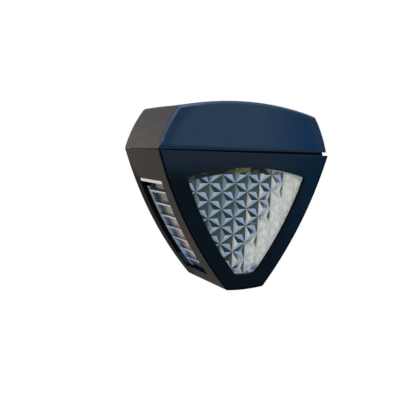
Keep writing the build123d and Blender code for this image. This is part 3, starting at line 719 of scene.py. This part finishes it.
# ribbed side lenses, painted light: pale highlights on ribs, rail and head, and cells that run
# from blue to smoky grey
# the ends are mm along z for the cells, and along y for the rail and the first cell's front
ribSet = {
    "clearness": 0.25, "roughness": 0.16, "specular": 0.2,
    "ribDepth": (4.1, 4.0),        # anything less deep than this is rib, rail or head
    # painted highlights: on the ribs and head, then on the rail
    "pale": rgb(250, 244, 242),
    "rail": rgb(214, 230, 244), "railEnds": (-9.6, -8.8),
    "railShade": rgb(24, 40, 66), "railShadeEnds": (-8.5, -8.2),
    # the cells painted in light and shade: pale blue near the wall, dark blue, then smoky grey in
    # front
    "cells": [(8.9, rgb(124, 144, 176)), (10.4, rgb(92, 112, 146)), (11.6, rgb(22, 40, 78)),
              (13.4, rgb(44, 58, 92)), (15.6, rgb(112, 109, 113)), (26.0, rgb(146, 140, 139)),
              (38.0, rgb(150, 140, 134))],
    "cellNoise": 300.0,
    "cellWander": 1.2,             # mm
    "lightGains": [((-18.0, -50.0), (2.6, 2.4, 2.3, 1.0)),          # painted light: the lower cells are paler
              ((-18.0, -14.0), (0.42, 0.43, 0.46, 1.0))],      # and painted shade makes the top ones darker
    # painted shade in the top cell, lighter towards the front; painted light in the bottom cell
    "firstCell": rgb(34, 36, 38), "firstEnds": (-11.5, -8.5),
    "firstFront": rgb(104, 96, 90), "firstFrontEnds": (-16.0, -34.0),
    "lastCell": rgb(120, 150, 196), "lastEnds": (-50.0, -53.0),
    "streakNoise": (500.0, 3.0), "streakStretch": (1.0, 0.3, 1.0), "streakMost": 0.25,
    "streak": (0.02, 0.03, 0.05, 1.0),
    "bumpNoise": 900.0, "bump": 0.15,
}


def ramped(tree, value, stops):  # stops given in mm from the wall
    ramp = tree.nodes.new("ShaderNodeValToRGB")
    low, high = stops[0][0], stops[-1][0]
    tree.links.new(fadeOf(tree, value, (-low, -high)), ramp.inputs["Fac"])
    while len(ramp.color_ramp.elements) < len(stops):
        ramp.color_ramp.elements.new(0.5)
    for element, (spot, colour) in zip(ramp.color_ramp.elements, stops):
        element.position = (spot - low) / (high - low)
        element.color = colour
    return ramp.outputs["Color"]


# the cells between the ribs, painted in light and shade
def paintedRibCells(tree, spot, axes):
    most = ribSet["cellWander"] * mm
    wander = swingOf(tree, noiseOf(tree, spot, ribSet["cellNoise"]), -most, most)
    cell = ramped(tree, mathOf(tree, "ADD", axes["Y"], wander), ribSet["cells"])
    for ends, gain in ribSet["lightGains"]:
        cell = blendOf(tree, fadeOf(tree, axes["Z"], ends), cell,
                       blendOf(tree, 1.0, cell, gain, "MULTIPLY"))
    first = blendOf(tree, fadeOf(tree, axes["Y"], ribSet["firstFrontEnds"]),
                    ribSet["firstCell"], ribSet["firstFront"])
    cell = blendOf(tree, fadeOf(tree, axes["Z"], ribSet["firstEnds"]), cell, first)
    return blendOf(tree, fadeOf(tree, axes["Z"], ribSet["lastEnds"]), cell, ribSet["lastCell"])


def ribbedLens():
    material, tree, shader = newMaterial("ribbedLens", roughness=ribSet["roughness"],
                                         specular=ribSet["specular"])
    spot = spotOf(tree)
    axes = splitOf(tree, spot)
    isRib = fadeOf(tree, underCurve(tree, axes, bodyCurve), ribSet["ribDepth"])
    # the painted highlights of ribs, rail and head
    pale = ribSet["pale"]
    for ends, tone in (("railEnds", "rail"), ("railShadeEnds", "railShade")):
        pale = blendOf(tree, fadeOf(tree, axes["Y"], ribSet[ends]), pale, ribSet[tone])
    colour = blendOf(tree, isRib, paintedRibCells(tree, spot, axes), pale)
    streaks = noiseOf(tree, spot, *ribSet["streakNoise"], stretch=ribSet["streakStretch"])
    colour = blendOf(tree, swingOf(tree, streaks, 0.0, ribSet["streakMost"]), colour,
                     ribSet["streak"])
    feed(tree, shader.inputs["Base Color"], colour)
    makeClear(shader, ribSet["clearness"])
    bumpOf(tree, shader, noiseOf(tree, spot, ribSet["bumpNoise"]), ribSet["bump"])
    return material


dress(ribbedLens(), "left_side_lens", "right_side_lens")
print("lenses finished")

# solar panel: glass, cells with fine fingers and two bus lines, and the board under them
panelSet = {
    "glass": rgb(226, 234, 242),
    "glassDust": 0.12,
    "glassSmears": (45.0, 3.0, 0.35, 0.7, 0.04, 0.12),     # patches, and the roughness they span
    "glassClear": (0.95, 1.25),    # clearness, and a low bend, as if coated against glare
    "film": 0.3,                   # how much the glass shows, so light reaches the cells
    "cell": rgb(10, 24, 66),
    "crystal": rgb(20, 42, 102),
    "crystalScale": 420.0,
    "silver": rgb(96, 104, 122),
    "fingerPitch": 2.0,            # mm
    "fingerWidth": 0.09,
    "busSpots": (-15.0, -32.2),
    "busWidth": 0.6,
}


def glassSheet():
    material, tree, shader = newMaterial("panelGlass", roughness=0.06, specular=0.15)
    smears = patchesOf(tree, spotOf(tree), *panelSet["glassSmears"])
    dust = dropIn(tree, dustGroup, {"Colour": panelSet["glass"],
                                    "Amount": panelSet["glassDust"]})
    feed(tree, shader.inputs["Base Color"], dust["Colour"])
    feed(tree, shader.inputs["Roughness"], smears)
    makeClear(shader, *panelSet["glassClear"])
    shader.inputs["Alpha"].default_value = panelSet["film"]
    return material


def solarCell():
    material, tree, shader = newMaterial("solarCell", roughness=0.3, specular=0.15)
    spot = spotOf(tree)
    axes = splitOf(tree, spot)
    grains = tree.nodes.new("ShaderNodeTexVoronoi")
    grains.inputs["Scale"].default_value = panelSet["crystalScale"]
    tree.links.new(spot, grains.inputs["Vector"])
    shade = splitOf(tree, grains.outputs["Color"])["X"]
    colour = blendOf(tree, shade, panelSet["cell"], panelSet["crystal"])
    step = mathOf(tree, "PINGPONG", axes["Y"], panelSet["fingerPitch"] * mm / 2)
    lines = mathOf(tree, "LESS_THAN", step, panelSet["fingerWidth"] * mm / 2)
    for bus in panelSet["busSpots"]:
        away = mathOf(tree, "ABSOLUTE", mathOf(tree, "SUBTRACT", axes["Y"], bus * mm))
        lines = mathOf(tree, "MAXIMUM", lines,
                       mathOf(tree, "LESS_THAN", away, panelSet["busWidth"] * mm))
    feed(tree, shader.inputs["Base Color"], blendOf(tree, lines, colour, panelSet["silver"]))
    return material


dress(glassSheet(), "panel_glass")
dress(solarCell(), "solar_cells")

# circuit and panel board: green mask with paler tracks, and a bare edge
boardSet = {
    "mask": rgb(22, 84, 48),
    "track": rgb(58, 128, 70),
    "edge": rgb(150, 148, 100),
    "edgeTurn": (0.5, 0.4),
    "tracks": {"Scale": 130.0, "Mortar Size": 0.03, "Brick Width": 1.5, "Row Height": 0.2},
    "bump": 0.3,
}


def boardGreen():
    material, tree, shader = newMaterial("boardGreen", roughness=0.32)
    tracks = tree.nodes.new("ShaderNodeTexBrick")
    for title, number in boardSet["tracks"].items():
        tracks.inputs[title].default_value = number
    for title in ("Color1", "Color2"):
        tracks.inputs[title].default_value = boardSet["mask"]
    tracks.inputs["Mortar"].default_value = boardSet["track"]
    tree.links.new(spotOf(tree), tracks.inputs["Vector"])
    level = mathOf(tree, "ABSOLUTE", facingOf(tree)["Z"])
    colour = blendOf(tree, spanOf(tree, level, *boardSet["edgeTurn"]), tracks.outputs["Color"],
                     boardSet["edge"])
    feed(tree, shader.inputs["Base Color"], colour)
    bumpOf(tree, shader, tracks.outputs["Fac"], boardSet["bump"])
    return material


dress(boardGreen(), "panel_board", "circuit_board")
print("panel and boards finished")

# metals: colour, roughness, scale of the grain and its bump
metalSet = {
    "zincPlate": (rgb(196, 196, 192), 0.34, 900.0, 0.2),
    "springNickel": (rgb(206, 204, 198), 0.26, 1600.0, 0.1),
    "silverReflector": (rgb(222, 226, 230), 0.3, 300.0, 0.5),
    "solderTin": (rgb(202, 204, 204), 0.24, 1200.0, 0.1),
}
metalStreak = 0.12


def platedMetal(name):
    colour, roughness, grain, bump = metalSet[name]
    material, tree, shader = newMaterial(name, metallic=1.0)
    mould = dropIn(tree, mouldGroup, {"Colour": colour, "Streak": metalStreak,
                                      "Roughness": roughness, "Grain": grain})
    feed(tree, shader.inputs["Base Color"], mould["Colour"])
    feed(tree, shader.inputs["Roughness"], mould["Roughness"])
    bumpOf(tree, shader, mould["Height"], bump)
    return material


dress(platedMetal("zincPlate"), "tray_screws", "board_screws", "cover_screws")
dress(platedMetal("springNickel"), "battery_spring", "spring_contact", "nub_contact")
dress(platedMetal("silverReflector"), "reflector")
solder = platedMetal("solderTin")

# solder on the circuit board's joints, and the chip's legs, in mm
boardTop = 20.4
solderSet = {
    "spots": [(-17.0, -31.0), (17.0, -31.0), (-2.0, -34.5), (2.0, -34.5), (22.4, -34.5),
              (22.4, -31.5)],
    "foot": 1.0,
    "tip": 0.4,
    "height": 0.7,
    "sides": 20,
    "round": 0.25, "roundSegments": 3,
    "roundAbove": 0.1,             # the foot's own edge stays sharp
    "crease": 70,
}
legSet = {
    "rows": (-12.5, -7.5),         # the chip's two long sides
    "spots": (-29.5, -30.5, -31.5, -32.5),
    "width": 0.4,
    "reach": 0.9,
    "rise": 0.8,
    "thick": 0.2,
    "round": 0.05, "roundSegments": 2,
    "crease": 40,
}


def makeSolder():
    drops = bmesh.new()
    middle = boardTop + solderSet["height"] / 2
    for x, y in solderSet["spots"]:
        bmesh.ops.create_cone(drops, cap_ends=True, cap_tris=False, segments=solderSet["sides"],
                              radius1=solderSet["foot"] * mm, radius2=solderSet["tip"] * mm,
                              depth=solderSet["height"] * mm,
                              matrix=Matrix.Translation((x * mm, y * mm, middle * mm)))
    lowest = (boardTop + solderSet["roundAbove"]) * mm
    rims = [edge for edge in drops.edges if min(vert.co.z for vert in edge.verts) > lowest]
    roundOver(drops, rims, solderSet["round"], solderSet["roundSegments"])
    shadeByAngle(drops, solderSet["crease"])
    newPiece("solderJoints", drops, solder, "casing")


def makeChipLegs():
    legs = bmesh.new()
    reach, rise, thick = legSet["reach"], legSet["rise"], legSet["thick"]
    for side, row in zip((-1, 1), legSet["rows"]):
        for y in legSet["spots"]:
            for wide, high in ((reach, thick), (thick, rise)):  # the foot, then the upright
                spot = Matrix.Translation(((row + side * wide / 2) * mm, y * mm,
                                           (boardTop + high / 2) * mm))
                size = Matrix.Diagonal((wide * mm, legSet["width"] * mm, high * mm, 1.0))
                bmesh.ops.create_cube(legs, size=1.0, matrix=spot @ size)
    roundOver(legs, legs.edges[:], legSet["round"], legSet["roundSegments"])
    shadeByAngle(legs, legSet["crease"])
    newPiece("chipLegs", legs, solder, "casing")


makeSolder()
makeChipLegs()
print("metals, solder and chip legs finished")

# battery: a green sleeve between two bare metal ends
batterySet = {
    "sleeve": rgb(40, 120, 72),
    "band": rgb(214, 216, 206),
    "bare": rgb(196, 196, 192),
    "sleeveEnds": (-22.0, 24.9),   # mm along the cell
    "bandEnds": (16.0, 19.0),
    "streak": 0.1, "roughness": 0.3,
}


def batteryWrap():
    material, tree, shader = newMaterial("batteryWrap")
    axes = splitOf(tree, spotOf(tree))

    def between(ends):
        low, high = ends
        return mathOf(tree, "MULTIPLY", mathOf(tree, "GREATER_THAN", axes["X"], low * mm),
                      mathOf(tree, "LESS_THAN", axes["X"], high * mm))

    wrapped = between(batterySet["sleeveEnds"])
    colour = blendOf(tree, between(batterySet["bandEnds"]), batterySet["sleeve"],
                     batterySet["band"])
    colour = blendOf(tree, wrapped, batterySet["bare"], colour)
    mould = dropIn(tree, mouldGroup, {"Colour": colour, "Streak": batterySet["streak"],
                                      "Roughness": batterySet["roughness"]})
    feed(tree, shader.inputs["Base Color"], mould["Colour"])
    feed(tree, shader.inputs["Roughness"], mould["Roughness"])
    feed(tree, shader.inputs["Metallic"], mathOf(tree, "SUBTRACT", 1.0, wrapped))
    return material


dress(batteryWrap(), "battery_cell")

# small plastics, rubbers and wires
plainLook = {"rub": 0.2, "rubbed": rgb(120, 120, 118), "streak": 0.15, "dust": 0.0,
             "specular": 0.4, "grain": 2600.0, "bump": 0.2}
# each with its colour, and a slightly paler painted highlight on its rounded edges
smallSet = {
    "blackPart": {"colour": rgb(34, 34, 36), "edge": rgb(44, 44, 46), "roughness": 0.42},
    "whitePart": {"colour": rgb(216, 214, 206), "edge": rgb(224, 222, 214), "roughness": 0.4},
    "sealRubber": {"colour": rgb(30, 30, 31), "edge": rgb(36, 36, 37), "roughness": 0.78},
    "buttonRubber": {"colour": rgb(62, 64, 68), "edge": rgb(76, 78, 82), "roughness": 0.66},
    "blackWire": {"colour": rgb(26, 26, 27), "edge": rgb(30, 30, 31), "roughness": 0.5},
    "redWire": {"colour": rgb(172, 30, 26), "edge": rgb(180, 36, 30), "roughness": 0.5},
}
smallNodes = {
    "blackPart": ["driver_chip", "choke_coil", "battery_holder", "switch_case"],
    "whitePart": ["switch_plunger"],
    "sealRubber": ["panel_seal", "button_seal", "cover_seal"],
    "buttonRubber": ["push_button"],
    "blackWire": ["switch_leads", "panel_lead_black", "battery_lead_black"],
    "redWire": ["panel_lead_red", "battery_lead_red"],
}
for name, nodeNames in smallNodes.items():
    dress(mouldedPlastic(name, {**plainLook, **smallSet[name]}), *nodeNames)

# lamps: clear domes with a warm tint
lampSet = {
    "dome": rgb(240, 232, 206),
    "paleDome": rgb(248, 244, 228),
    "tintNoise": 300.0,
    "clearness": 0.7, "roughness": 0.08,
}


def lampDome():
    material, tree, shader = newMaterial("lampDome", roughness=lampSet["roughness"])
    warm = swingOf(tree, noiseOf(tree, spotOf(tree), lampSet["tintNoise"]))
    feed(tree, shader.inputs["Base Color"],
         blendOf(tree, warm, lampSet["dome"], lampSet["paleDome"]))
    makeClear(shader, lampSet["clearness"])
    return material


dress(lampDome(), "led_lamps")
print("battery, small parts and lamps finished")
